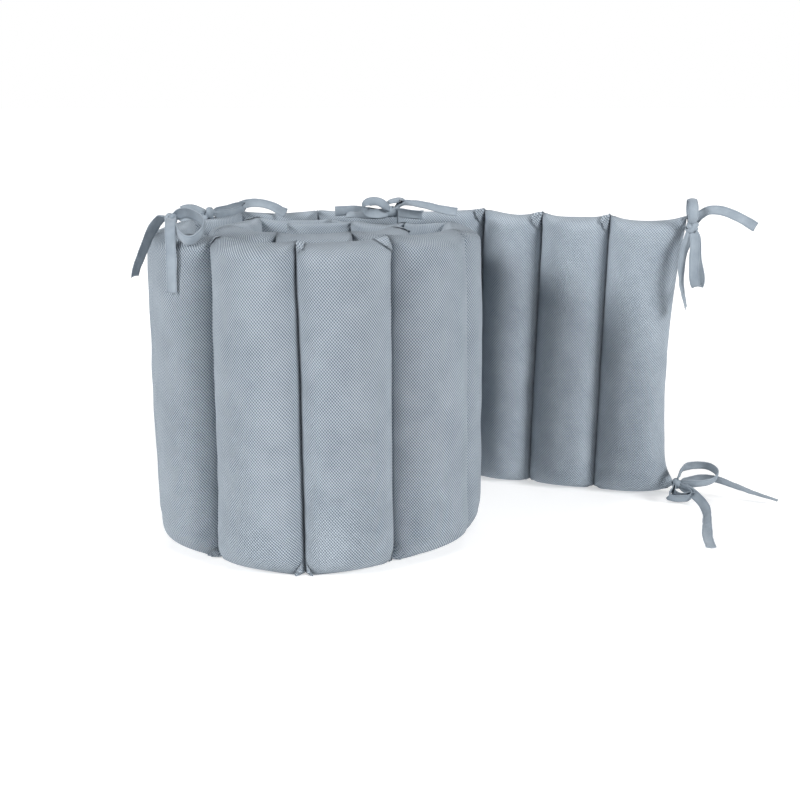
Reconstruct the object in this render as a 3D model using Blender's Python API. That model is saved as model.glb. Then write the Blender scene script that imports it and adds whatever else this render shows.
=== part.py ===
"""A crib bumper: one long padded strip, sewn through in upright channels, standing on its long edge.

The strip is wound into a loose roll of two and a half turns and its outer end runs off as a straight
tail. Flat tapes, sewn in at its edges, are knotted at five places. Metres, +Z up, standing on z = 0.
"""
import math
from collections import namedtuple

import bmesh
import bpy
from mathutils import Vector

MM = 0.001

# The padded strip.
HEIGHT = 300 * MM  # long edge to long edge
OUTER_CROWN = 24 * MM  # a full channel's swell on the roll's outer side, from its middle sheet
INNER_CROWN = 19 * MM  # and on the side that the roll presses together
SEAM_HALF = 2.5 * MM  # half the thickness where a channel line is sewn through
ENDS_DRAWN = 9 * MM  # how far the free end's edge pulls in between its corners
FOOT_LIFT = 2.5 * MM  # a seam's lower end hangs this far above the surface
FOOT_CURVE = 1.5  # how soon a channel's foot comes down flat beside its seam
COLUMNS = 8  # mesh columns across one channel

# The tape ties.
TAPE_WIDTH = 9.5 * MM
TAPE_THICK = 1.2 * MM
GATHERED = 0.4  # share of its width that a tape keeps inside its knot
STEPS = 3  # mesh steps between two rows of a tape's route

# The middle of the roll, from the middle of the object's box.
ROLL = Vector((-157 * MM, -7.5 * MM, 0))

# One row for each sewn line, from the tail's free end into the roll. x and y: millimetres from the
# middle of the roll. lean: how far its upper end leans towards +X, and its foot the other way. ear: how
# far its upper end stands above the full height. full: how well the channel that follows is filled.
# inner: how much of its inner swell is left in a tight turn. dip: how far that channel's upper edge sinks.
Seam = namedtuple("Seam", "x y lean ear full inner dip")
SEAMS = (
    Seam(370, 77, 3.0, 2, 0.85, 1.00, 5),  # the free end
    Seam(294.5, 95, 2.7, 2, 0.85, 1.00, 4),
    Seam(226.5, 119, 3.4, 2, 0.85, 1.00, 4),
    Seam(169, 138, 1.5, 2, 0.90, 1.00, 4),  # the tail meets the roll
    Seam(79, 150, 0, 1, 1.00, 1.00, 4),
    Seam(-8.5, 148, 0, 1, 1.00, 1.00, 5),
    Seam(-90.5, 117, 0, 3, 1.00, 1.00, 5),
    Seam(-132, 46, 0, 1, 0.88, 1.00, 4),
    Seam(-141, -42, 1.2, 1, 1.00, 1.00, 5),
    Seam(-84.5, -106, 2.5, 2, 1.00, 1.00, 5),
    Seam(-5.5, -146, -1.2, 2, 1.00, 1.00, 5),
    Seam(74.5, -112, -1.1, 3, 1.00, 1.00, 4),
    Seam(140, -43, -4.0, 1, 1.00, 1.00, 4),
    Seam(136, 38, 0, 0, 1.00, 1.00, 4),  # the second turn tucks in behind the tail
    Seam(90, 96, 0, -7, 1.00, 1.00, 5),
    Seam(8, 102, 0, -4, 1.00, 1.00, 4),
    Seam(-68, 68, 0, 1, 1.00, 1.00, 4),
    Seam(-88, -10, 0, 1, 1.00, 1.00, 4),
    Seam(-32, -72, 0, 1, 1.00, 1.00, 4),
    Seam(39, -64, 0, 1, 1.00, 0.80, 4),
    Seam(84, -6, 0, 0, 1.00, 0.75, 4),
    Seam(36, 48, 0, 0, 0.85, 0.80, 4),
    Seam(-30, 28, 0, 0, 0.85, 1.00, 4),  # the inner end
)

# The channel's section from its foot to its upper edge: share of the height, share of the swell.
Level = namedtuple("Level", "height swell")
LEVELS = (
    Level(0.000, 0.30),
    Level(0.010, 0.62),
    Level(0.040, 0.86),
    Level(0.100, 1.00),
    Level(0.500, 1.00),
    Level(0.900, 1.00),
    Level(0.955, 0.88),
    Level(0.985, 0.60),
    Level(1.000, 0.14),
)

# A tape's route. x, y, z: millimetres from the middle of the roll at the surface it stands on.
# side and up: where the tape's face looks, in degrees to the right of straight ahead and upwards.
Row = namedtuple("Row", "x y z side up")
Strand = namedtuple("Strand", "loop rows")
Tie = namedtuple("Tie", "knot size strands")

TIES = {
    "tie_front_left": Tie((-124, -68, 311), (5.5, 5, 6), (
        Strand(False, (
            Row(-136, -58, 311, -20, 20),
            Row(-145, -54, 299, -20, 10),
            Row(-154, -52, 283, -20, 5),
            Row(-160, -50, 269, -10, 0),
            Row(-164, -47, 256, 0, 0),
        )),
        Strand(False, (
            Row(-123, -84, 312, -30, 60),
            Row(-121, -98, 304, -40, 20),
            Row(-120.5, -104, 293, -40, 0),
            Row(-122, -104.5, 276, -40, 0),
            Row(-123, -103.5, 252, -40, 0),
        )),
        Strand(True, (
            Row(-111, -78, 320, 0, 60),
            Row(-98, -90, 316, 30, 40),
            Row(-91, -101, 309, 50, 30),
            Row(-94, -111, 300, 20, 10),
            Row(-102, -115, 297, 0, 10),
            Row(-109, -109, 302, -20, 40),
            Row(-113, -95, 309, -20, 50),
        )),
    )),
    "tie_back_left": Tie((-112, 76, 303), (5, 5, 5.5), (
        Strand(True, (
            Row(-122, 79, 310, 0, 60),
            Row(-133, 73, 314, -30, 60),
            Row(-141, 63, 312, -60, 30),
            Row(-139, 56, 305, -60, -10),
            Row(-129, 61, 301.5, 0, -60),
            Row(-120, 69, 301.5, 0, -60),
        )),
        Strand(False, (
            Row(-105, 86, 308, 0, 50),
            Row(-98, 102, 309, 0, 50),
            Row(-88, 117, 310.5, 0, 50),
            Row(-76, 124, 310.5, 0, 40),
            Row(-64, 124, 309, 0, 40),
            Row(-53, 121, 305.5, 0, 40),
            Row(-44, 112, 302, 10, 50),
            Row(-38, 104, 302, 20, 60),
        )),
    )),
    "tie_back_right": Tie((66, 92, 306), (8, 6, 6), (
        Strand(False, (
            Row(52, 95, 307, 0, 20),
            Row(36, 97, 307, 0, 10),
            Row(22, 97, 309, 0, 10),
            Row(13, 97, 310, 0, 10),
        )),
        Strand(False, (
            Row(80, 96, 312, 0, 50),
            Row(95, 99, 310, 0, 60),
            Row(109, 99, 307.5, 0, 70),
            Row(124, 98, 305, 0, 70),
            Row(139, 97, 304, 0, 70),
        )),
        Strand(True, (
            Row(76, 82, 305, 0, 60),
            Row(87, 78, 305, 20, 60),
            Row(98, 81, 304, 40, 60),
            Row(98, 87, 303.5, 0, 70),
            Row(86, 88, 303.5, 0, 70),
        )),
    )),
    "tie_end_top": Tie((376, 66, 291), (5, 5, 7), (
        Strand(True, (
            Row(375.5, 61, 303, 0, 10),
            Row(376, 67, 314, 0, 60),
            Row(377, 78, 317, 0, 90),
            Row(378, 87, 311, 0, 90),
            Row(379.5, 88, 298, 180, 0),
            Row(379.5, 80, 289, 180, -30),
        )),
        Strand(False, (
            Row(384, 70, 302, 0, 10),
            Row(392, 72, 310, 0, 30),
            Row(402, 70, 310.5, 0, 30),
            Row(415, 67, 304.5, 0, 20),
            Row(427, 65, 299, 0, 20),
            Row(440, 65, 292, 0, 20),
        )),
        Strand(False, (
            Row(370.5, 62, 280, -20, 0),
            Row(366, 60, 266, -20, 0),
            Row(364.5, 58.5, 250, -10, 0),
            Row(367, 59, 232, 0, 0),
            Row(373.5, 61, 207, 30, 0),
        )),
        Strand(True, (
            Row(377.5, 58, 277, 20, 0),
            Row(377, 55, 258, 20, 0),
            Row(377.5, 54, 240, 20, 0),
            Row(381.5, 58, 229.5, 20, 0),
            Row(385.5, 64, 237, 20, 0),
            Row(383, 67, 257, 20, 0),
            Row(381, 67, 275, 20, 0),
        )),
    )),
    "tie_end_bottom": Tie((376, 62, 18), (5.5, 5, 6), (
        Strand(True, (
            Row(380, 61, 29, 0, 40),
            Row(388, 60, 37, 0, 60),
            Row(400, 60, 38, 0, 60),
            Row(409, 61, 32, 0, 60),
            Row(404, 62, 23.5, 0, 60),
            Row(392, 62, 20.5, 0, 60),
        )),
        Strand(False, (
            Row(389, 70, 17, 0, 30),
            Row(403, 72, 22, 0, 30),
            Row(417, 68, 23.5, 0, 30),
            Row(435, 62, 19, 0, 30),
            Row(455, 55, 12, 0, 30),
            Row(478, 45, 5, 0, 20),
        )),
        Strand(True, (
            Row(368, 56, 11, -30, 40),
            Row(364, 46, 7, -30, 50),
            Row(368, 35, 6, 0, 50),
            Row(377, 30, 7, 10, 50),
            Row(386, 33, 8, 20, 50),
            Row(385, 44, 10, 20, 50),
        )),
        Strand(False, (
            Row(387, 52, 14, 30, 60),
            Row(395, 42, 8, 20, 80),
            Row(395, 26, 3, 0, 90),
            Row(388, 8, 2, 0, 90),
            Row(379, -14, 1.5, 0, 90),
            Row(374, -40, 1.5, 0, 90),
            Row(373, -62, 1.5, 0, 90),
            Row(374, -82, 1.5, 0, 90),
        )),
    )),
}


def clear_scene():
    for old in list(bpy.data.objects):
        bpy.data.objects.remove(old, do_unlink=True)


def cloth_material(name, red, green, blue, roughness):
    """A plain cotton finish in the cloth's own colour."""
    material = bpy.data.materials.new(name)
    material.use_nodes = True
    shader = material.node_tree.nodes["Principled BSDF"]
    shader.inputs["Base Color"].default_value = (red, green, blue, 1)
    shader.inputs["Roughness"].default_value = roughness
    shader.inputs["Metallic"].default_value = 0
    return material


def smoothed(points, steps):
    """The points, with a Catmull-Rom curve's points between them."""
    route = []
    last = len(points) - 1
    for i in range(last):
        before, here = points[max(i - 1, 0)], points[i]
        there, after = points[i + 1], points[min(i + 2, last)]
        for k in range(steps):
            t = k / steps
            route.append(
                0.5 * (
                    2 * here
                    + (there - before) * t
                    + (2 * before - 5 * here + 4 * there - after) * t ** 2
                    + (3 * here - before - 3 * there + after) * t ** 3
                )
            )
    route.append(points[last].copy())
    return route


def wrapped_sheet(name, rows, columns, place):
    """A closed body from a flat grid: its far side edges meet, and place gives each grid point's spot."""
    bm = bmesh.new()
    bmesh.ops.create_grid(bm, x_segments=rows, y_segments=columns, size=0.5)
    for vert in bm.verts:
        row = round((vert.co.x + 0.5) * rows)
        column = round((vert.co.y + 0.5) * columns)
        vert.co = place(row, column)
    bmesh.ops.remove_doubles(bm, verts=bm.verts, dist=0.00001)
    bmesh.ops.holes_fill(bm, edges=bm.edges)
    bmesh.ops.recalc_face_normals(bm, faces=bm.faces)
    mesh = bpy.data.meshes.new(name)
    bm.to_mesh(mesh)
    bm.free()
    mesh.shade_smooth()
    piece = bpy.data.objects.new(name, mesh)
    bpy.context.collection.objects.link(piece)
    return piece


def seam_point(number):
    return ROLL + Vector((SEAMS[number].x, SEAMS[number].y, 0)) * MM


def outward(number):
    """The horizontal direction out of the roll, square to the channel that starts at this seam."""
    along = seam_point(number + 1) - seam_point(number)
    return Vector((along.y, -along.x, 0)).normalized()


def seam_outward(number):
    """The same at a seam, half way between its two channels."""
    first = max(number - 1, 0)
    second = min(number, len(SEAMS) - 2)
    return (outward(first) + outward(second)).normalized()


def strip_point(column, around):
    """A point of the padded strip: its column along the strip, its place around the section."""
    channel = min(column // COLUMNS, len(SEAMS) - 2)
    angle = math.pi * (column - channel * COLUMNS) / COLUMNS
    share = (1 - math.cos(angle)) / 2
    swell = math.sin(angle)
    near, far = SEAMS[channel], SEAMS[channel + 1]
    middle = seam_point(channel).lerp(seam_point(channel + 1), share)
    seam_way = seam_outward(channel).lerp(seam_outward(channel + 1), share)
    way = seam_way.lerp(outward(channel), swell).normalized()

    last = len(LEVELS) - 1
    outer = around <= last
    level = LEVELS[around if outer else 2 * last + 1 - around]
    at_end = column in (0, (len(SEAMS) - 1) * COLUMNS)
    seam_half = 0 if at_end else SEAM_HALF
    crown = OUTER_CROWN if outer else INNER_CROWN * near.inner
    crown *= near.full
    shape = swell if outer else swell ** 1.5
    thick = seam_half + (crown - SEAM_HALF) * shape * level.swell
    top = HEIGHT + (near.ear + (far.ear - near.ear) * share - near.dip * swell) * MM
    foot = FOOT_LIFT * max(0, 1 - FOOT_CURVE * swell)
    spot = middle + way * (thick if outer else -thick)
    spot.z = foot + (top - foot) * level.height
    lean = near.lean + (far.lean - near.lean) * share
    spot.x += lean * MM * (2 * level.height - 1)
    if channel == 0:
        drawn = ENDS_DRAWN * math.sin(math.pi * level.height) * (1 - share)
        spot += (seam_point(1) - seam_point(0)).normalized() * drawn
    return spot


def padded_strip(material):
    around = 2 * len(LEVELS)
    strip = wrapped_sheet(
        "bumper_pad",
        (len(SEAMS) - 1) * COLUMNS,
        around,
        lambda column, row: strip_point(column, row % around),
    )
    strip.data.materials.append(material)
    return strip


def facing(side, up):
    """The direction that a tape's face looks."""
    side, up = math.radians(side), math.radians(up)
    return Vector((
        math.sin(side) * math.cos(up),
        -math.cos(side) * math.cos(up),
        math.sin(up),
    ))


def tape(name, knot, strand):
    """One stretch of flat tape out of its knot, back into it if it is a loop."""
    spots = [ROLL + Vector((row.x, row.y, row.z)) * MM for row in strand.rows]
    faces = [facing(row.side, row.up) for row in strand.rows]
    widths = [TAPE_WIDTH] * len(spots)
    spots.insert(0, knot.lerp(spots[0], 0.15))
    faces.insert(0, faces[0])
    widths.insert(0, TAPE_WIDTH * GATHERED)
    if strand.loop:
        spots.append(knot.lerp(spots[-1], 0.2))
        faces.append(faces[-1])
        widths.append(TAPE_WIDTH * GATHERED)
    route = smoothed(spots, STEPS)
    looks = smoothed(faces, STEPS)
    spread = [one.x for one in smoothed([Vector((w, 0, 0)) for w in widths], STEPS)]
    last = len(route) - 1

    def place(row, corner):
        ahead, behind = route[min(row + 1, last)], route[max(row - 1, 0)]
        run = (ahead - behind).normalized()
        face = (looks[row] - run * looks[row].dot(run)).normalized()
        across = run.cross(face)
        half = min(spread[row], TAPE_WIDTH) / 2
        beside = half if corner % 4 in (0, 3) else -half
        above = TAPE_THICK / 2 if corner % 4 in (0, 1) else -TAPE_THICK / 2
        return route[row] + across * beside + face * above

    return wrapped_sheet(name, last, 4, place)


def knotted_tie(name, tie, material):
    """A knot with its tapes, joined into one body."""
    bm = bmesh.new()
    bmesh.ops.create_icosphere(bm, subdivisions=2, radius=1)
    knot = ROLL + Vector(tie.knot) * MM
    bmesh.ops.scale(bm, vec=Vector(tie.size) * MM, verts=bm.verts)
    bmesh.ops.translate(bm, vec=knot, verts=bm.verts)
    mesh = bpy.data.meshes.new(name)
    bm.to_mesh(mesh)
    bm.free()
    mesh.shade_smooth()
    body = bpy.data.objects.new(name, mesh)
    bpy.context.collection.objects.link(body)
    body.data.materials.append(material)
    for number, strand in enumerate(tie.strands):
        piece = tape(f"{name}_strand_{number}", knot, strand)
        piece.hide_render = True
        piece.display_type = "WIRE"
        join = body.modifiers.new(f"strand_{number}", "BOOLEAN")
        join.operation = "UNION"
        join.solver = "EXACT"
        join.object = piece
    return body


clear_scene()
padded_strip(cloth_material("waffle_weave_cotton", 0.40, 0.46, 0.53, 0.9))
for tie_name, tie_shape in TIES.items():
    tape_finish = cloth_material(f"{tie_name}_tape", 0.34, 0.39, 0.45, 0.85)
    knotted_tie(tie_name, tie_shape, tape_finish)
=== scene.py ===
"""The looks of a channel-sewn crib bumper, rolled up with its tail out, and its tape ties."""
import math

import bmesh
import bpy
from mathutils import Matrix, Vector, noise


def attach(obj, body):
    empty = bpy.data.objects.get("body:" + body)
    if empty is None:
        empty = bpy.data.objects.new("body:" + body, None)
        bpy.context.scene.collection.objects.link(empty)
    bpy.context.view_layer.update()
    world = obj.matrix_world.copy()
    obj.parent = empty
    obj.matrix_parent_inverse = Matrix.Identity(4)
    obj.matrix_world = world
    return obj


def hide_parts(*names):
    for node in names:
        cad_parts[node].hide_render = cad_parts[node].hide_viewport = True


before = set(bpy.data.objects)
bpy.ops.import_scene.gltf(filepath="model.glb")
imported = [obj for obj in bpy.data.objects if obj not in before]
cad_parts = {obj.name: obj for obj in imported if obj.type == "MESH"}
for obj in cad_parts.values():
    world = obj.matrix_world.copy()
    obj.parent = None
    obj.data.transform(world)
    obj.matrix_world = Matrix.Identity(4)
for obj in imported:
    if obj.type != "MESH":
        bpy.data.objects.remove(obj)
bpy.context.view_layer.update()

# ---- The stage: a sweep of white paper, three soft daylight lamps and the camera. Two lamps stand low
# at the left and right and model the channels' sides, and a weak one hangs overhead. The paper glows
# a little, so that it stays white in the bumper's shadow.
PAPER_SIDE = 60.0
CAMERA_PLACE = (-0.076, -1.1425, 0.4204)
CAMERA_PITCH = 14.55  # degrees below level
CAMERA_LENS = 53.27  # mm on a 36 mm sensor
AMBIENT = 0.03
PAPER_GLOW = 0.50


def linear(code):
    """An sRGB hex colour as the linear colour that shaders take."""
    channels = [int(code[i:i + 2], 16) / 255 for i in (1, 3, 5)]
    return tuple(c / 12.92 if c <= 0.04045 else ((c + 0.055) / 1.055) ** 2.4 for c in channels) + (1.0,)


def add_node(tree, kind, settings=(), inputs=(), links=()):
    """One shader node with its settings, fixed inputs and incoming links."""
    node = tree.nodes.new(kind)
    for name, value in dict(settings).items():
        setattr(node, name, value)
    for socket, value in dict(inputs).items():
        node.inputs[socket].default_value = value
    for socket, source in dict(links).items():
        tree.links.new(source, node.inputs[socket])
    return node


bm = bmesh.new()
bmesh.ops.create_grid(bm, x_segments=1, y_segments=1, size=PAPER_SIDE / 2)
paper_mesh = bpy.data.meshes.new("paper")
bm.to_mesh(paper_mesh)
bm.free()
paper = bpy.data.objects.new("paper", paper_mesh)
bpy.context.collection.objects.link(paper)

paper_finish = bpy.data.materials.new("matt_white_paper")
paper_finish.use_nodes = True
shader = paper_finish.node_tree.nodes["Principled BSDF"]
shader.inputs["Base Color"].default_value = linear("#DADADA")
shader.inputs["Roughness"].default_value = 0.9
shader.inputs["Specular IOR Level"].default_value = 0.1
shader.inputs["Emission Color"].default_value = (1, 1, 1, 1)
shader.inputs["Emission Strength"].default_value = PAPER_GLOW
paper_mesh.materials.append(paper_finish)

world = bpy.data.worlds.new("studio")
bpy.context.scene.world = world
world.use_nodes = True
tree = world.node_tree
tree.nodes.clear()
ray = add_node(tree, "ShaderNodeLightPath")
surround = add_node(tree, "ShaderNodeBackground", inputs={"Color": (1, 1, 1, 1), "Strength": AMBIENT})
behind = add_node(tree, "ShaderNodeBackground", inputs={"Color": (1, 1, 1, 1), "Strength": 1.0})
mixed = add_node(tree, "ShaderNodeMixShader", links={
    0: ray.outputs["Is Camera Ray"], 1: surround.outputs[0], 2: behind.outputs[0]})
add_node(tree, "ShaderNodeOutputWorld", links={"Surface": mixed.outputs[0]})

# name, strength, softness in degrees, compass way it comes from (0 is the front, 90 the right), height
LAMPS = (
    ("left_lamp", 3.1, 22, -60, 26),
    ("right_lamp", 2.85, 22, 55, 26),
    ("top_lamp", 1.0, 50, 180, 80),
)
for name, strength, softness, way, height in LAMPS:
    light = bpy.data.lights.new(name, "SUN")
    light.energy = strength
    light.angle = math.radians(softness)
    lamp = bpy.data.objects.new(name, light)
    way, height = math.radians(way), math.radians(height)
    towards = Vector((
        math.sin(way) * math.cos(height),
        -math.cos(way) * math.cos(height),
        math.sin(height),
    ))
    lamp.rotation_euler = towards.to_track_quat("Z", "Y").to_euler()
    bpy.context.collection.objects.link(lamp)

camera_data = bpy.data.cameras.new("camera")
camera_data.sensor_width = 36
camera_data.lens = CAMERA_LENS
camera_data.clip_end = 200
camera = bpy.data.objects.new("camera", camera_data)
camera.location = CAMERA_PLACE
camera.rotation_euler = (math.radians(90 - CAMERA_PITCH), 0, 0)
bpy.context.collection.objects.link(camera)
bpy.context.scene.camera = camera
bpy.context.scene.view_settings.view_transform = "Standard"

# ---- The padded strip: two layers of waffle-weave cotton with loose polyester filling between them,
# sewn through in upright channels and closed along its edges. It was cut and sewn flat, filled channel
# by channel, then stood on its long edge and rolled from one end.
MM = 0.001
ROLL = Vector((-157 * MM, -7.5 * MM, 0))  # the middle of the roll
HEIGHT = 300 * MM
OUTER_CROWN = 25 * MM
INNER_CROWN = 20 * MM
DEEPENED = 8 * MM  # the sewn lines sink towards the side that the roll, or the tail, turns away
TAIL_SEAMS = 3
SEAM_HALF = 0.7 * MM
FULLNESS = 0.92  # under 1 makes a channel's section fuller than an ellipse
ENDS_DRAWN = 9 * MM
CORNER_PULLED = 9 * MM  # the lower tie pulls the free end's lower corner out and up
CORNER_LIFTED = 7 * MM
CORNER_REACH = 22 * MM
FOOT_LIFT = 2.5 * MM
FOOT_CURVE = 1.5
FOOT_SHARE = 0.34  # share of the swell that is left at the lower edge
TOP_SHARE = 0.03
FOOT_ROUND = 26 * MM  # how far from an edge the channels start to close
TOP_ROUND = 13 * MM
ROUNDNESS = 2.2
NOTCH = 1.6 * MM  # a sewn line's upper end sinks this far between its channels' shoulders
NOTCH_WIDTH = 3 * MM
WANDER = 1.1 * MM  # how far a sewn line strays from straight
UNEVEN_TOP = 1.2 * MM
LUMP = 1.8 * MM
RIPPLE = 0.7 * MM
PUCKER = 1.5 * MM
PUCKER_REACH = 7 * MM  # how far from a sewn line its puckers are strongest, and how wide they are
THINNEST = 0.4 * MM
COLUMNS = 34  # across one channel
ROWS = 70  # up one side
CROWDED, EVEN = 0.72, 0.28  # how much of the rows' spacing is closer near the edges, and how much even

# x, y: millimetres from the middle of the roll. lean: the line's upper end towards +X, its foot the
# other way. ear: its upper end above the full height. full: how well the next channel is filled.
# inner: what is left of its inner swell. dip: how far its upper edge sinks.
SEAMS = (
    (370, 77, 3.0, 2, 0.85, 1.00, 9),
    (294.5, 95, 2.7, 1, 0.85, 1.00, 7),
    (226.5, 119, 3.4, 1, 0.85, 1.00, 6),
    (169, 138, 1.5, 2, 0.90, 1.00, 4),
    (79, 150, 0, 1, 1.00, 1.00, 4),
    (-8.5, 148, 0, 1, 1.00, 1.00, 5),
    (-90.5, 117, 0, 3, 1.00, 1.00, 5),
    (-132, 46, 0, 1, 0.88, 1.00, 4),
    (-141, -42, 1.2, 1, 1.00, 1.00, 4),
    (-84.5, -106, 2.5, 2, 1.00, 1.00, 5),
    (-5.5, -146, -1.2, 2, 1.00, 1.00, 5.5),
    (74.5, -112, -1.1, 3, 1.00, 1.00, 4),
    (140, -43, -4.0, 1, 0.84, 1.00, 4),
    (136, 38, 0, 0, 1.00, 1.00, 4),
    (90, 96, 0, -7, 1.00, 1.00, 5),
    (8, 102, 0, -4, 1.00, 1.00, 4),
    (-68, 68, 0, 1, 1.00, 1.00, 4),
    (-88, -10, 0, 1, 1.00, 1.00, 4),
    (-32, -72, 0, 1, 1.00, 1.00, 4),
    (39, -64, 0, 1, 1.00, 0.80, 4),
    (84, -6, 0, 0, 1.00, 0.75, 4),
    (36, 48, 0, 0, 0.85, 0.80, 4),
    (-30, 28, 0, 0, 0.85, 1.00, 4),
)
CHANNELS = len(SEAMS) - 1

# Creases in the cloth, each a soft trough on one side of one channel. across: millimetres from the
# channel's first seam. up: above the foot. deep and wide: the trough. Negative deep is a ridge.
# channel, outer side, across and up at its start, across and up at its end, deep, wide
CREASES = (
    (10, True, 3, 40, 24, 22, 1.6, 3.0),
    (10, True, 2, 60, 16, 50, 0.8, 2.5),
    (10, True, 66, 250, 88, 284, 1.5, 4.0),
    (10, True, 62, 272, 84, 292, 1.2, 3.0),
    (9, True, 74, 34, 92, 14, 1.5, 3.5),
    (9, True, 8, 268, 20, 292, 1.0, 3.0),
    (9, True, 2, 30, 16, 12, 1.0, 3.0),
    (8, True, 72, 16, 96, 30, 2.0, 3.5),
    (8, True, 60, 30, 90, 50, 0.9, 4.0),
    (11, True, 3, 52, 12, 26, 2.2, 3.0),
    (11, True, 2, 84, 22, 70, 1.0, 3.5),
    (11, True, 3, 110, 26, 100, 0.9, 3.5),
    (11, True, 6, 66, 40, 52, 0.8, 4.0),
    (11, True, 4, 262, 14, 288, 1.6, 3.5),
    (11, True, 60, 240, 80, 30, -1.2, 5.0),
    (12, True, 8, 30, 40, 14, 1.2, 4.0),
    (0, False, 2, 296, 26, 262, 0.6, 4.0),
    (0, False, 3, 288, 34, 276, 0.8, 3.5),
    (0, False, 2, 14, 24, 46, 1.6, 4.0),
    (0, False, 3, 12, 38, 26, 1.3, 3.5),
    (0, False, 2, 16, 12, 60, 0.9, 4.0),
    (0, False, 66, 30, 76, 10, 1.2, 3.0),
    (1, False, 3, 34, 20, 14, 1.2, 3.0),
    (1, False, 56, 24, 70, 10, 1.2, 3.0),
    (2, False, 48, 22, 60, 8, 1.2, 3.0),
)

# Small pleats where cloth is spare beside a sewn line's end, each a loose flap, wide at the long edge
# and tapering to the line. channel, outer side, at its far seam, at the foot, wide, tall, lifted
PLEATS = (
    (1, False, False, False, 8.5, 17, 2.6),
    (2, False, False, False, 9.5, 18, 2.8),
    (3, False, False, False, 9.0, 16, 2.6),
    (9, True, False, False, 6, 7, 1.6),
    (10, True, False, False, 8, 9, 1.2),
    (10, True, True, False, 15, 12, 2.4),
    (8, True, True, True, 11, 10, 1.4),
    (9, True, True, True, 8, 13, 2.0),
    (10, True, False, True, 7, 12, 2.2),
    (10, True, True, True, 5, 15, 1.4),
    (11, True, False, True, 8, 18, 1.6),
    (5, True, True, False, 9, 14, 2.2),
    (6, True, False, False, 8, 12, 2.0),
    (14, True, False, False, 9, 12, 2.0),
    (15, True, True, False, 10, 12, 2.2),
    (16, True, False, False, 9, 12, 2.0),
    (19, True, True, False, 8, 11, 2.0),
)
PLEAT_ROWS = 14
PLEAT_COLUMNS = 8
PLEAT_THICK = 1.5  # mm
GATHER_REACH = 12 * MM  # how far the little folds spread round a sewn line's two ends
GATHER_DEEP = 3.0 * MM


def seam_point(number):
    return ROLL + Vector((SEAMS[number][0], SEAMS[number][1], 0)) * MM


def outward(number):
    """The level direction out of the roll, square to the channel that starts at this seam."""
    along = seam_point(number + 1) - seam_point(number)
    return Vector((along.y, -along.x, 0)).normalized()


def seam_outward(number):
    return (outward(max(number - 1, 0)) + outward(min(number, CHANNELS - 1))).normalized()


def end_closing(distance, reach, least):
    """Share of the swell left this far from a long edge."""
    near = 1 - min(max(distance / reach, 0), 1)
    return max(least, (1 - near ** ROUNDNESS) ** (1 / ROUNDNESS))


def trough(spot, start, end, wide):
    """1 on the line from start to end, fading beside it and towards its end."""
    line = end - start
    t = min(max((spot - start).dot(line) / line.length_squared, 0), 1)
    away = (spot - start - line * t).length / wide
    return math.exp(-away ** 2) * (1 - t) ** 0.5 if away < 3 else 0


def hand_folds(channel, outer, across, width, up, top):
    """Creases and gathers: how far they press the cloth in, all lengths in metres."""
    pressed = 0
    for number, side, *line, deep, wide in CREASES:
        if number == channel and side == outer:
            start, end = Vector(line[:2]) * MM, Vector(line[2:]) * MM
            pressed += deep * MM * trough(Vector((across, up)), start, end, wide * MM)
    for edge_up in (0, top):
        for beside, seam in ((across, channel), (width - across, channel + 1)):
            reach = math.hypot(beside, up - edge_up)
            if reach < 2.5 * GATHER_REACH:
                turn = math.atan2(abs(up - edge_up), beside + 0.0001)
                folds = math.cos(7 * turn + seam * 2.1 + (3 if outer else 1) * edge_up * 9)
                ring = reach / GATHER_REACH
                pressed += GATHER_DEEP * folds * ring * math.exp(-2.2 * ring ** 2 + 0.6)
    return pressed


def sunk(number):
    """How far a sewn line lies from the strip's middle, outwards."""
    return DEEPENED if number <= TAIL_SEAMS else -DEEPENED


def level_at(step):
    """How high up a side this share of its rows lies, with the rows closer near the long edges."""
    return CROWDED * (1 - math.cos(math.pi * step)) / 2 + EVEN * step


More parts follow.
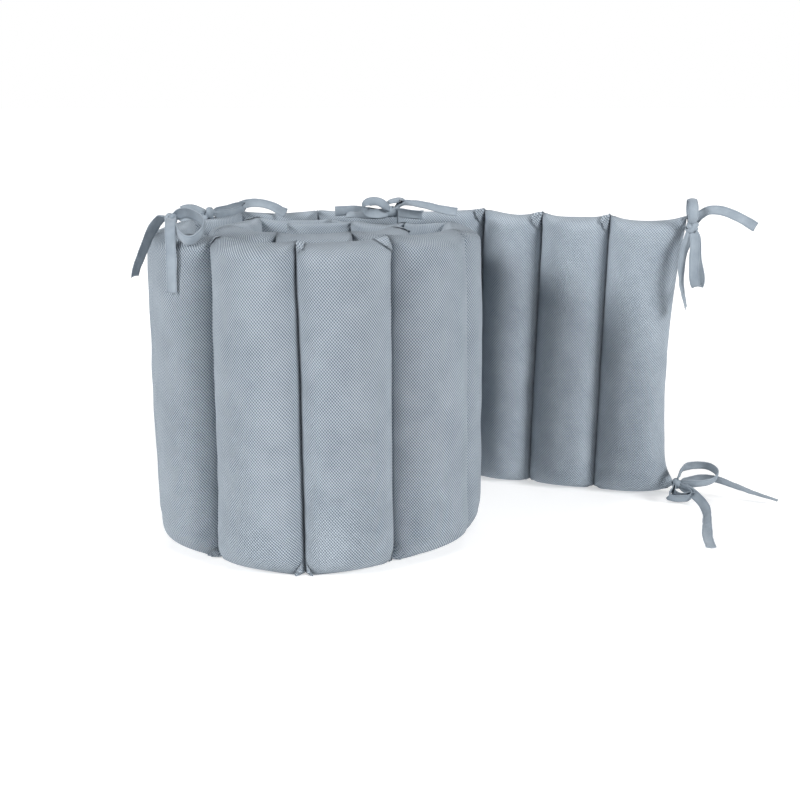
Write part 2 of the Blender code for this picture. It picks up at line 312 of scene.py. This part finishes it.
def strip_point(along, around, swollen=None):
    """A point of the sewn strip. along: channels from the free end. around: 0 to 1 up the outer side,
    1 to 2 down the inner side. swollen: how the cloth moved under the filling's pressure."""
    channel = min(int(along), CHANNELS - 1)
    angle = math.pi * (along - channel)
    share = (1 - math.cos(angle)) / 2
    swell = abs(math.sin(angle))
    _, _, near_lean, near_ear, full, inner, dip = SEAMS[channel]
    _, _, far_lean, far_ear, *_ = SEAMS[channel + 1]
    width = (seam_point(channel + 1) - seam_point(channel)).length
    across = share * width
    beside = min(across, width - across)

    outer = around <= 1
    step = around if outer else 2 - around
    level = level_at(step)
    notch = NOTCH * math.exp(-(beside / NOTCH_WIDTH) ** 2) if 0 < along < CHANNELS else 0
    top = HEIGHT + (near_ear + (far_ear - near_ear) * share - dip * swell) * MM - notch
    top += noise.noise(Vector((along * 3.1, 7, 0))) * UNEVEN_TOP * swell
    foot = FOOT_LIFT * max(0, 1 - FOOT_CURVE * swell)
    z = foot + (top - foot) * level

    middle = seam_point(channel).lerp(seam_point(channel + 1), share)
    seam_way = seam_outward(channel).lerp(seam_outward(channel + 1), share)
    way = seam_way.lerp(outward(channel), swell).normalized()
    closing = min(
        end_closing(z - foot, FOOT_ROUND, FOOT_SHARE),
        end_closing(top - z, TOP_ROUND, TOP_SHARE),
    )
    deeper = sunk(channel) + (sunk(channel + 1) - sunk(channel)) * share
    middle = middle + way * deeper
    crown = (OUTER_CROWN if outer else INNER_CROWN * inner) * full - (deeper if outer else -deeper)
    shape = swell ** FULLNESS if outer else swell ** (1.5 if channel > 3 else 1.1)
    thick = SEAM_HALF + (crown - SEAM_HALF) * shape * closing
    thick -= hand_folds(channel, outer, across, width, z, top) * min(1, 2.5 * swell)

    # The filling is never quite even, and the cloth puckers beside each sewn line.
    side = 1 if outer else -1
    lump = noise.noise(Vector((middle.x * 16, middle.y * 16, z * 10 + side * 4))) * LUMP
    ripple = noise.noise(Vector((along * 5, side * 8, z * 34))) * RIPPLE
    pucker = noise.noise(Vector((channel * 7.3 + side * 3, share * 4, z * 95)))
    pucker *= math.exp(-((beside - PUCKER_REACH) / PUCKER_REACH) ** 2) * PUCKER
    thick += (lump + ripple + pucker) * swell ** 0.5 * closing
    at_end = along in (0, CHANNELS)
    spot = middle + way * side * (0 if at_end else max(thick, THINNEST))
    spot.z = z

    stray = [
        noise.noise(Vector((z * 9, seam * 5.3, 2))) + 0.4 * noise.noise(Vector((z * 40, seam, 5)))
        for seam in (channel, channel + 1)
    ]
    run = (seam_point(channel + 1) - seam_point(channel)).normalized()
    spot += run * WANDER * (stray[0] * (1 - share) + stray[1] * share)
    spot.x += (near_lean + (far_lean - near_lean) * share) * MM * (2 * level - 1)
    if channel == 0:
        drawn = ENDS_DRAWN * math.sin(math.pi * level) * (1 - share)
        pulled = math.exp(-(z / CORNER_REACH) ** 2) * (1 - share) ** 5
        spot += run * (drawn - CORNER_PULLED * pulled)
        spot.z += CORNER_LIFTED * pulled
    if swollen:
        spot += swollen_by(swollen, along * SIM_COLUMNS, around * SIM_ROWS)
        spot.z = max(spot.z, 0)
    return spot


def between(before, here, there, after, t):
    """The point at share t from here to there, on a smooth Catmull-Rom curve through all four."""
    return 0.5 * (
        2 * here
        + (there - before) * t
        + (2 * before - 5 * here + 4 * there - after) * t ** 2
        + (3 * here - before - 3 * there + after) * t ** 3
    )


def swollen_by(swollen, column, row):
    """The movement at a place between the simulated points."""
    columns, rows = len(swollen) - 1, len(swollen[0])
    left, below = min(int(column), columns - 1), int(row)
    lines = []
    for i in range(left - 1, left + 3):
        line = swollen[min(max(i, 0), columns)]
        near = [line[(below + k) % rows] for k in (-1, 0, 1, 2)]
        lines.append(between(*near, row - below))
    return between(*lines, column - left)


# The filling's pressure: a coarse copy of the strip, with its cloth grown by 2 %, is blown up as cloth
# with its sewn lines, its long edges and its feet held.
SIM_COLUMNS = 12
SIM_ROWS = 32
SIM_FRAMES = 16
SIM_PRESSURE = 6.0
SPARE_CLOTH = 0.02
SHARE_KEPT = 0.45  # of the simulated movement, so that the channels stay as even as they are sewn
MOST_MOVED = 2.0 * MM  # before the movement is evened out
SMOOTHINGS = 3  # times that each point's movement is evened out with its neighbours'


def blown_up():
    """How far each point of the coarse strip moves, by column and row."""
    columns, rows = CHANNELS * SIM_COLUMNS, 2 * SIM_ROWS
    bm = bmesh.new()
    bmesh.ops.create_grid(bm, x_segments=columns, y_segments=rows, size=0.5)
    at_column, at_row = bm.verts.layers.int.new("column"), bm.verts.layers.int.new("row")
    for vert in bm.verts:
        vert[at_column] = round((vert.co.x + 0.5) * columns)
        vert[at_row] = round((vert.co.y + 0.5) * rows) % rows
        vert.co = strip_point(vert[at_column] / SIM_COLUMNS, vert[at_row] / SIM_ROWS)
    bmesh.ops.remove_doubles(bm, verts=bm.verts, dist=0.000001)
    bmesh.ops.recalc_face_normals(bm, faces=bm.faces)
    cells = [(vert[at_column], vert[at_row]) for vert in bm.verts]
    mesh = bpy.data.meshes.new("coarse_strip")
    bm.to_mesh(mesh)
    bm.free()
    coarse = bpy.data.objects.new("coarse_strip", mesh)
    bpy.context.collection.objects.link(coarse)
    held = coarse.vertex_groups.new(name="sewn")
    held.add([
        number for number, (column, row) in enumerate(cells)
        if column % SIM_COLUMNS == 0 or row in (0, 1, SIM_ROWS, rows - 1)
    ], 1.0, "REPLACE")
    cloth = coarse.modifiers.new("filling", "CLOTH").settings
    cloth.vertex_group_mass = "sewn"
    cloth.use_pressure = True
    cloth.uniform_pressure_force = SIM_PRESSURE
    cloth.shrink_min = -SPARE_CLOTH
    cloth.effector_weights.gravity = 0
    scene = bpy.context.scene
    for number in range(1, SIM_FRAMES + 1):
        scene.frame_set(number)
    shaped = coarse.evaluated_get(bpy.context.evaluated_depsgraph_get()).to_mesh()
    swollen = [[Vector() for _ in range(rows)] for _ in range(columns + 1)]
    for (column, row), vert, start in zip(cells, shaped.vertices, mesh.vertices):
        moved = SHARE_KEPT * (vert.co - start.co)
        if moved.length > MOST_MOVED:
            moved *= MOST_MOVED / moved.length
        swollen[column][row] = moved
    for _ in range(SMOOTHINGS):
        swollen = [
            line if column % SIM_COLUMNS == 0 else [
                (2 * line[row] + line[row - 1] + line[(row + 1) % rows]
                 + swollen[column - 1][row] + swollen[column + 1][row]) / 6
                for row in range(rows)
            ]
            for column, line in enumerate(swollen)
        ]
    scene.frame_set(1)
    bpy.data.objects.remove(coarse, do_unlink=True)
    bpy.data.meshes.remove(mesh)
    return swollen


swollen = blown_up()


strip_columns = CHANNELS * COLUMNS
strip_rows = 2 * ROWS
grid = [
    [strip_point(column / COLUMNS, row % strip_rows / ROWS, swollen) for row in range(strip_rows + 1)]
    for column in range(strip_columns + 1)
]


def running_length(spots):
    """How far along the line through the spots each of them is."""
    lengths = [0.0]
    for here, there in zip(spots, spots[1:]):
        lengths.append(lengths[-1] + (there - here).length)
    return lengths


# The weave keeps its scale: its map is in metres of cloth, measured along the sewn strip.
outer_run = running_length([line[ROWS // 2] for line in grid])
inner_run = running_length([line[ROWS + ROWS // 2] for line in grid])
rise = running_length(grid[int(10.5 * COLUMNS)])

bm = bmesh.new()
bmesh.ops.create_grid(bm, x_segments=strip_columns, y_segments=strip_rows, size=0.5)
cloth_map = bm.loops.layers.uv.new("cloth")
for face in bm.faces:
    inner_side = sum(loop.vert.co.y for loop in face.loops) > 0
    face.material_index = int(inner_side)
    for loop in face.loops:
        column = round((loop.vert.co.x + 0.5) * strip_columns)
        row = round((loop.vert.co.y + 0.5) * strip_rows)
        run = inner_run if inner_side else outer_run
        loop[cloth_map].uv = (run[column], rise[row])
for vert in bm.verts:
    column = round((vert.co.x + 0.5) * strip_columns)
    row = round((vert.co.y + 0.5) * strip_rows)
    vert.co = grid[column][row]
bmesh.ops.remove_doubles(bm, verts=bm.verts, dist=0.000001)


def level_step(level):
    """The share of a side's rows that lies below this share of the height."""
    low, high = 0.0, 1.0
    for _ in range(24):
        step = (low + high) / 2
        if level_at(step) < level:
            low = step
        else:
            high = step
    return low


for channel, outer, far, at_foot, wide, tall, lifted in PLEATS:
    width = (seam_point(channel + 1) - seam_point(channel)).length
    corners = 2 * (PLEAT_COLUMNS + 1)
    side = 1 if outer else -1
    made = bmesh.ops.create_grid(bm, x_segments=PLEAT_ROWS, y_segments=corners, size=0.5)["verts"]
    cells = {vert: (vert.co.x + 0.5, round((vert.co.y + 0.5) * corners)) for vert in made}
    for face in {face for vert in made for face in vert.link_faces}:
        for loop in face.loops:
            down, corner = cells[loop.vert]
            v = min(corner, corners - 1 - corner) / PLEAT_COLUMNS
            loop[cloth_map].uv = (v * wide * MM, down * tall * MM)
    for vert, (down, corner) in cells.items():
        corner %= corners
        upper = corner <= PLEAT_COLUMNS
        v = (corner if upper else corners - 1 - corner) / PLEAT_COLUMNS
        narrowed = wide * (1 - 0.85 * down ** 1.3) * MM
        share = min(max(v * narrowed / width, 0.00001), 1)
        turn = math.acos(1 - 2 * share) / math.pi
        level = down * tall * MM / HEIGHT
        step = level_step(level if at_foot else 1 - level)
        spot = strip_point(channel + (1 - turn if far else turn), step if outer else 2 - step, swollen)
        raised = 0.2 + lifted * v ** 0.7 * (1 - 0.6 * down) + 0.7 * math.sin(v * 7 + channel) * (1 - down)
        vert.co = spot + outward(channel) * side * (raised + (PLEAT_THICK if upper else 0)) * MM
        vert.co.z = max(vert.co.z + (0 if at_foot else 0.6 * MM * (1 - down)), 0.3 * MM)
bmesh.ops.remove_doubles(bm, verts=bm.verts, dist=0.000001)
bmesh.ops.holes_fill(bm, edges=bm.edges)
bmesh.ops.recalc_face_normals(bm, faces=bm.faces)
strip_mesh = bpy.data.meshes.new("padded_strip")
bm.to_mesh(strip_mesh)
bm.free()
strip_mesh.shade_smooth()
strip = bpy.data.objects.new("padded_strip", strip_mesh)
bpy.context.collection.objects.link(strip)

# Waffle-weave cotton, yarn dyed blue grey and unfinished: rows of small raised cells, each half a cell
# beside the next, matt, with a dry bloom at grazing angles. The cells' hollows are painted darker, as
# shade, and their ridges lighter.
CELL_WIDE = 2.6 * MM
CELL_TALL = 3.05 * MM


def waffle_cotton(name, falling, rising):
    """The cloth with its two sets of slanting ribs, each as strong as given, 0 to 1. The ribs set its bumps
    and also its colour, which is painted shade in their hollows.
    """
    material = bpy.data.materials.new(name)
    material.use_nodes = True
    tree = material.node_tree
    shader = tree.nodes["Principled BSDF"]
    cloth_uv = add_node(tree, "ShaderNodeUVMap", {"uv_map": "cloth"})
    parts = add_node(tree, "ShaderNodeSeparateXYZ", links={0: cloth_uv.outputs[0]})
    turns_x = add_node(tree, "ShaderNodeMath", {"operation": "MULTIPLY"}, {1: 2 * math.pi / CELL_WIDE}, {
        0: parts.outputs[0]})
    turns_z = add_node(tree, "ShaderNodeMath", {"operation": "MULTIPLY"}, {1: 2 * math.pi / CELL_TALL}, {
        0: parts.outputs[1]})
    weave = None
    for sign, strength in (("ADD", falling), ("SUBTRACT", rising)):
        phase = add_node(tree, "ShaderNodeMath", {"operation": sign}, links={
            0: turns_x.outputs[0], 1: turns_z.outputs[0]})
        rib = add_node(tree, "ShaderNodeMath", {"operation": "COSINE"}, links={0: phase.outputs[0]})
        added = add_node(tree, "ShaderNodeMath", {"operation": "MULTIPLY_ADD"}, {
            1: strength / 1.7, 2: 0.5}, {0: rib.outputs[0]})
        if weave:
            tree.links.new(weave.outputs[0], added.inputs[2])
        weave = added
    place = add_node(tree, "ShaderNodeTexCoord")
    uneven = add_node(tree, "ShaderNodeTexNoise", inputs={
        "Scale": 26.0, "Detail": 4.0, "Roughness": 0.65}, links={"Vector": place.outputs["Object"]})
    tone = add_node(tree, "ShaderNodeMath", {"operation": "MULTIPLY_ADD"}, {1: 0.5, 2: -0.25}, {
        0: uneven.outputs["Fac"]})
    shade = add_node(tree, "ShaderNodeMath", {"operation": "ADD", "use_clamp": True}, links={
        0: weave.outputs[0], 1: tone.outputs[0]})
    # The ribs' hollows take the dark colour as painted shade and their ridges the light one; the noise adds
    # uneven tone at random.
    dye = add_node(tree, "ShaderNodeMix", {"data_type": "RGBA"}, links={"Factor": shade.outputs[0]})
    dye.inputs["A"].default_value = linear("#566473")
    dye.inputs["B"].default_value = linear("#BCC6CF")
    tree.links.new(dye.outputs["Result"], shader.inputs["Base Color"])
    bump = add_node(tree, "ShaderNodeBump", inputs={"Strength": 1.0, "Distance": 1.1 * MM}, links={
        "Height": weave.outputs[0]})
    tree.links.new(bump.outputs[0], shader.inputs["Normal"])
    shader.inputs["Roughness"].default_value = 0.95
    shader.inputs["Specular IOR Level"].default_value = 0.2
    shader.inputs["Sheen Weight"].default_value = 0.2
    shader.inputs["Sheen Roughness"].default_value = 0.5
    shader.inputs["Sheen Tint"].default_value = linear("#E4E9EE")
    return material


# The outer panel shows the cloth's right side, where one set of ribs leads, and the inner its back.
strip_mesh.materials.append(waffle_cotton("waffle_weave_cotton", 0.64, 0.36))
strip_mesh.materials.append(waffle_cotton("waffle_weave_cotton_back", 0.30, 0.30))

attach(strip, "root")
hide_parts("bumper_pad")

# ---- The tape ties: flat woven cotton tape, 11 mm wide, sewn in at the strip's edges and knotted by
# hand. Each tie is one tape with its knot, loops and free ends, and is soft enough to cup along its
# length, to gather where it enters its knot and to crumple a little.
TAPE_CUT = 11 * MM  # the tape's flat width
TAPE_WIDTH = 9.8 * MM  # what is left of it across its cup
TAPE_THICK = 0.8 * MM
TAPE_CUP = 1.1 * MM
TAPE_CRUMPLE = 0.7 * MM
GATHERED = 0.42  # share of its width inside a knot
GATHER_LENGTH = 7 * MM
TAPE_COLUMNS = 10
TAPE_STEP = 1.6 * MM
KNOT_WRAP_WIDTH = 5.5 * MM


def smoothed(points, steps):
    """The points, with a smooth curve's points between them."""
    route = []
    last = len(points) - 1
    for i in range(last):
        before, here = points[max(i - 1, 0)], points[i]
        there, after = points[i + 1], points[min(i + 2, last)]
        for k in range(steps):
            route.append(between(before, here, there, after, k / steps))
    route.append(points[last].copy())
    return route


def evenly(route, step):
    """The same route with its points evenly spaced, about one step apart."""
    along = running_length(route)
    count = max(round(along[-1] / step), 8)
    even = []
    part = 0
    for i in range(count + 1):
        want = along[-1] * i / count
        while part < len(route) - 2 and along[part + 1] < want:
            part += 1
        share = (want - along[part]) / max(along[part + 1] - along[part], 0.000001)
        even.append(route[part].lerp(route[part + 1], min(share, 1)))
    return even


def add_tape(bm, tape_map, route, across_first, across_last, gathers, crumple, closed=False):
    """A stretch of tape along the route, added to bm as a closed strip. across_first and across_last
    turn its width, and gathers says whether it enters a knot at its start and at its end."""
    route = evenly(route, TAPE_STEP)
    run = running_length(route)
    last = len(route) - 1
    around = 2 * (TAPE_COLUMNS + 1)
    made = bmesh.ops.create_grid(bm, x_segments=last, y_segments=around, size=0.5)["verts"]
    places = {}
    for vert in made:
        places[vert] = (round((vert.co.x + 0.5) * last), round((vert.co.y + 0.5) * around))
    for face in {face for vert in made for face in vert.link_faces}:
        for loop in face.loops:
            row, corner = places[loop.vert]
            upper = corner <= TAPE_COLUMNS
            v = (corner if upper else around - 1 - corner) / TAPE_COLUMNS
            loop[tape_map].uv = (run[row], v * TAPE_CUT)
    for vert, (row, corner) in places.items():
        corner %= around
        if closed:
            row %= last
        upper = corner <= TAPE_COLUMNS
        v = (corner if upper else around - 1 - corner) / TAPE_COLUMNS
        ahead = route[min(row + 1, last)] if not closed else route[(row + 1) % last]
        behind = route[max(row - 1, 0)] if not closed else route[(row - 1) % last]
        forward = (ahead - behind).normalized()
        wide = across_first.lerp(across_last, run[row] / run[-1])
        wide = (wide - forward * wide.dot(forward)).normalized()
        face = wide.cross(forward)
        loose = 1.0
        if gathers[0]:
            loose = min(loose, GATHERED + (1 - GATHERED) * min(run[row] / GATHER_LENGTH, 1) ** 0.8)
        if gathers[1]:
            left = run[-1] - run[row]
            loose = min(loose, GATHERED + (1 - GATHERED) * min(left / GATHER_LENGTH, 1) ** 0.8)
        tight = 1 - loose
        spread = TAPE_WIDTH * loose if not closed else KNOT_WRAP_WIDTH
        cup = TAPE_CUP * (1 - (2 * v - 1) ** 2) + 2.4 * MM * tight * math.cos(3 * math.pi * v)
        seed = route[0] * 90
        rumple = noise.noise(route[row] * 110 + Vector((v * 0.9, 0, 0)) + seed) * crumple
        rumple += noise.noise(route[row] * 300 + Vector((0, v * 2.5, 0)) + seed) * crumple * 0.35
        edge = noise.noise(route[row] * 70 + seed + Vector((0, 0, 9))) * 0.5 * MM
        place = route[row] + wide * (spread * (v - 0.5) + edge * (2 * v - 1))
        place += face * (cup - TAPE_CUP / 2 + rumple + (TAPE_THICK if upper else -TAPE_THICK) / 2)
        place.z = max(place.z, 0.2 * MM + (TAPE_THICK if upper else 0))
        vert.co = place
    return run[-1]


def add_knot(bm, tape_map, centre, size, lean):
    """A knot: the tape gathered in folds, and two wraps of it crossing over them."""
    made = bmesh.ops.create_icosphere(bm, subdivisions=4, radius=1)["verts"]
    for face in {face for vert in made for face in vert.link_faces}:
        for loop in face.loops:
            turn = math.atan2(loop.vert.co.y, loop.vert.co.x)
            loop[tape_map].uv = (loop.vert.co.z * size.z, turn * size.x)
    for vert in made:
        turn = math.atan2(vert.co.y, vert.co.x)
        folds = 1 + 0.10 * math.cos(5 * turn + 2 * vert.co.z)
        folds += 0.12 * noise.noise(vert.co * 2.2 + centre * 50)
        core = Vector((vert.co.x * size.x, vert.co.y * size.y, vert.co.z * size.z))
        vert.co = centre + core * folds * 0.9
    length = 0
    for tilt, grown in ((lean, 1.02), (lean - 1.25, 1.14)):
        axis = Vector((math.sin(tilt), -0.15, math.cos(tilt))).normalized()
        side = axis.cross(Vector((0, 1, 0))).normalized()
        front = side.cross(axis)
        ring = []
        for k in range(49):
            turn = 2 * math.pi * k / 48
            way = side * math.cos(turn) + front * math.sin(turn)
            reach = Vector((way.x * size.x, way.y * size.y, way.z * size.z)).length
            ring.append(centre + way * reach * grown + axis * 0.8 * MM * math.sin(2 * turn))
        length += add_tape(bm, tape_map, ring, axis, axis, (False, False), 0.3 * MM, closed=True)
    return length


# A tie's knot, its size and lean, whether it hangs or lies, and its stretches. loop: it comes back to the
# knot.
# rows: x, y, z in millimetres from the middle of the roll at the surface it stands on.
# wide: which way the tape's width points where it leaves the knot, and at its end.
# loop, crumple, rows, wide at its start, wide at its end
TIES = {
    "tie_front_left": ((-124, -68, 311), (4.8, 4.4, 5.6), 0.5, "hung", (
        (False, 0.7, ((-133, -60, 312), (-141, -56, 305), (-149, -53, 292), (-157, -51, 275),
                      (-162, -49, 264), (-164.5, -47, 256)), (0.9, 0.3, -0.3), (0.4, 0.9, -0.2)),
        (False, 0.7, ((-122, -80, 312), (-120, -95, 306), (-118.5, -104, 293), (-118.5, -105, 276),
                      (-119, -104, 262), (-119.5, -103.5, 250)), (1, 0, 0), (0.96, -0.2, 0)),
        (True, 0.8, ((-112, -72, 317), (-101, -76, 315), (-92, -87, 310), (-91, -100, 303),
                     (-96, -110, 298), (-104, -111, 297), (-112, -100, 301)),
         (0.1, -0.3, 0.95), (0.1, -0.55, 0.83)),
    )),
    "tie_back_left": ((-112, 76, 302), (4.8, 4.6, 5), -0.4, "hung", (
        (True, 1.0, ((-121, 78, 304), (-130, 75, 307), (-138, 68, 305.5), (-138, 60, 299),
                     (-130, 61, 297.5), (-121, 67, 298)), (0.3, 0.75, 0.55), (0.3, 0.75, 0.55)),
        (True, 0.8, ((-106, 82, 303), (-97, 94, 304), (-87, 105, 306), (-82, 112, 305),
                     (-88, 104, 301), (-98, 90, 300)), (0.3, 0.3, 0.9), (0.3, 0.3, 0.9)),
        (False, 0.8, ((-98, 96, 303), (-88, 110, 305), (-80, 120, 307.5), (-70, 123, 308),
                      (-60, 123, 306.5), (-50, 119, 303.5), (-43, 111, 300.5), (-38, 104, 299.5)),
         (0.1, 0.4, 0.9), (0, 0.7, 0.7)),
    )),
    "tie_back_right": ((74, 92, 302), (6, 5, 5), 0.9, "hung", (
        (False, 1.6, ((60, 92, 300), (48, 94, 301.5), (34, 96, 303), (22, 97, 302.5), (14, 97, 302)),
         (0, 0.2, 0.97), (0, 0.1, 1)),
        (False, 1.2, ((58, 88, 299), (46, 88, 299), (34, 90, 300), (26, 92, 299.5)),
         (0.1, 0.8, 0.6), (0, 0.9, 0.4)),
        (True, 1.4, ((66, 88, 309), (57, 90, 313), (47, 88, 311), (46, 84, 303), (56, 85, 300)),
         (0.1, 0.6, 0.8), (0.1, 0.6, 0.8)),
        (True, 1.2, ((80, 94, 309), (84, 96, 312), (80, 98, 314), (70, 97, 312), (66, 95, 307)),
         (0.1, 0.9, 0.4), (0.1, 0.9, 0.4)),
        (False, 0.6, ((84, 95, 310), (96, 99, 309.5), (110, 99, 307), (124, 98, 303.5), (140, 97, 301)),
         (0, 0.95, 0.3), (0, 0.5, 0.86)),
        (True, 0.9, ((82, 84, 302), (92, 80, 301), (102, 81, 300), (103, 87, 299), (92, 90, 299)),
         (0, -0.4, 0.92), (0, -0.4, 0.92)),
    )),
    "tie_end_top": ((376, 66, 289), (4.6, 4.4, 7), 0.6, "hung", (
        (True, 0.3, ((375, 60, 299), (375.5, 62, 310), (376.5, 72, 316), (378, 84, 314),
                     (379.5, 89, 302), (379.5, 80, 289)), (1, 0, 0.05), (1, 0, 0)),
        (False, 0.7, ((382, 69, 298), (387, 71, 302), (395, 71, 305.5), (408, 68, 304.5), (424, 65, 298),
                      (440, 65, 289)), (-0.2, 0.7, 0.6), (0.2, 0.1, 0.97)),
        (False, 0.8, ((372, 61, 279), (367, 59.5, 265), (365.5, 58.5, 250), (366.5, 59, 234),
                      (369.5, 60, 220), (373.5, 61, 207)), (1, 0.1, 0), (0.35, 0.94, 0)),
        (True, 0.5, ((378, 58, 277), (377.5, 55, 258), (378, 54, 241), (381, 56, 231), (385, 61, 230),
                     (386.5, 65, 238), (383, 67, 257), (381, 67, 275)), (0.9, -0.4, 0.1), (0.9, -0.4, 0.1)),
    )),
    "tie_end_bottom": ((375, 62, 18), (4, 3.8, 4.6), -0.7, "laid", (
        (True, 0.9, ((378, 64, 27), (384, 71, 33), (397, 76, 34), (412, 76, 33), (420, 68, 28),
                     (414, 60, 22), (398, 56, 19.5)), (0.05, -0.35, 0.93), (0.05, -0.45, 0.89)),
        (False, 0.7, ((388, 68, 19), (402, 69, 22), (417, 66, 22), (435, 61, 17), (455, 54, 11),
                      (479, 45, 5)), (0, -0.1, 0.99), (0.15, -0.93, 0.3)),
        (True, 2.2, ((368, 54, 12), (364, 49, 9), (368, 46, 7.5), (376, 45, 7.5), (385, 46, 8),
                     (388, 51, 11)), (0.2, -0.5, 0.85), (-0.1, -0.5, 0.85)),
        (True, 2.4, ((372, 56, 14), (371, 52, 11), (377, 50, 10), (385, 51, 10), (392, 50, 10),
                     (388, 54, 14)), (0.3, -0.6, 0.7), (-0.3, -0.6, 0.7)),
        (False, 0.9, ((385, 54, 14), (392, 45, 10), (397, 33, 5.5), (397, 16, 3), (392, -6, 2),
                      (386, -30, 1.8), (380, -56, 1.8), (377, -80, 1.8)), (0.5, 0.3, 0.8), (1, 0.45, 0)),
    )),
}

# Twill-woven cotton tape in the cloth's colour, piece dyed: fine ribs across, a firm selvedge along
# each edge, a little smoother and more even than the cloth. The ribs are drawn 1.2 mm apart, coarser
# than the tape's own, to show.
RIB_PITCH = 1.2 * MM
SELVEDGE = 1.2 * MM
tape_finish = bpy.data.materials.new("twill_cotton_tape")
tape_finish.use_nodes = True
tree = tape_finish.node_tree
shader = tree.nodes["Principled BSDF"]
tape_uv = add_node(tree, "ShaderNodeUVMap", {"uv_map": "tape"})
parts = add_node(tree, "ShaderNodeSeparateXYZ", links={0: tape_uv.outputs[0]})
slant = add_node(tree, "ShaderNodeMath", {"operation": "MULTIPLY_ADD"}, {1: 0.6}, {
    0: parts.outputs[1], 2: parts.outputs[0]})
phase = add_node(tree, "ShaderNodeMath", {"operation": "MULTIPLY"}, {1: 2 * math.pi / RIB_PITCH}, {
    0: slant.outputs[0]})
ribs = add_node(tree, "ShaderNodeMath", {"operation": "COSINE"}, links={0: phase.outputs[0]})
from_middle = add_node(tree, "ShaderNodeMath", {"operation": "SUBTRACT"}, {1: TAPE_CUT / 2}, {
    0: parts.outputs[1]})
to_edge = add_node(tree, "ShaderNodeMath", {"operation": "ABSOLUTE"}, links={0: from_middle.outputs[0]})
edge_line = add_node(tree, "ShaderNodeMath", {"operation": "COMPARE"}, {
    1: TAPE_CUT / 2 - SELVEDGE, 2: 0.25 * MM}, {0: to_edge.outputs[0]})
place = add_node(tree, "ShaderNodeTexCoord")
uneven = add_node(tree, "ShaderNodeTexNoise", inputs={"Scale": 60.0, "Detail": 3.0}, links={
    "Vector": place.outputs["Object"]})
shade = add_node(tree, "ShaderNodeMath", {"operation": "MULTIPLY_ADD"}, {1: 0.16}, {
    0: ribs.outputs[0], 2: uneven.outputs["Fac"]})
seamed = add_node(tree, "ShaderNodeMath", {"operation": "MULTIPLY_ADD", "use_clamp": True}, {1: -0.35}, {
    0: edge_line.outputs[0], 2: shade.outputs[0]})
dye = add_node(tree, "ShaderNodeMix", {"data_type": "RGBA"}, links={"Factor": seamed.outputs[0]})
dye.inputs["A"].default_value = linear("#717C87")
dye.inputs["B"].default_value = linear("#9DA7B0")
tree.links.new(dye.outputs["Result"], shader.inputs["Base Color"])
bump = add_node(tree, "ShaderNodeBump", inputs={"Strength": 0.6, "Distance": 0.2 * MM}, links={
    "Height": seamed.outputs[0]})
tree.links.new(bump.outputs[0], shader.inputs["Normal"])
shader.inputs["Roughness"].default_value = 0.85
shader.inputs["Specular IOR Level"].default_value = 0.25
shader.inputs["Sheen Weight"].default_value = 0.15
shader.inputs["Sheen Roughness"].default_value = 0.5

for name, (knot, size, lean, held, stretches) in TIES.items():
    centre = ROLL + Vector(knot) * MM
    bm = bmesh.new()
    tape_map = bm.loops.layers.uv.new("tape")
    length = add_knot(bm, tape_map, centre, Vector(size) * MM, lean)
    for loop, crumple, rows, wide_first, wide_last in stretches:
        spots = [ROLL + Vector(row) * MM for row in rows]
        spots.insert(0, centre.lerp(spots[0], 0.15))
        if loop:
            spots.append(centre.lerp(spots[-1], 0.2))
        length += add_tape(bm, tape_map, smoothed(spots, 12), Vector(wide_first), Vector(wide_last),
                           (True, loop), crumple * TAPE_CRUMPLE)
    bmesh.ops.remove_doubles(bm, verts=bm.verts, dist=0.00001)
    bmesh.ops.holes_fill(bm, edges=bm.edges)
    bmesh.ops.recalc_face_normals(bm, faces=bm.faces)
    tie_mesh = bpy.data.meshes.new(f"{name}_tape")
    bm.to_mesh(tie_mesh)
    bm.free()
    tie_mesh.shade_smooth()
    tie_mesh.materials.append(tape_finish)
    tie = bpy.data.objects.new(f"{name}_tape", tie_mesh)
    bpy.context.collection.objects.link(tie)
    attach(tie, "root")
    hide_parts(name)
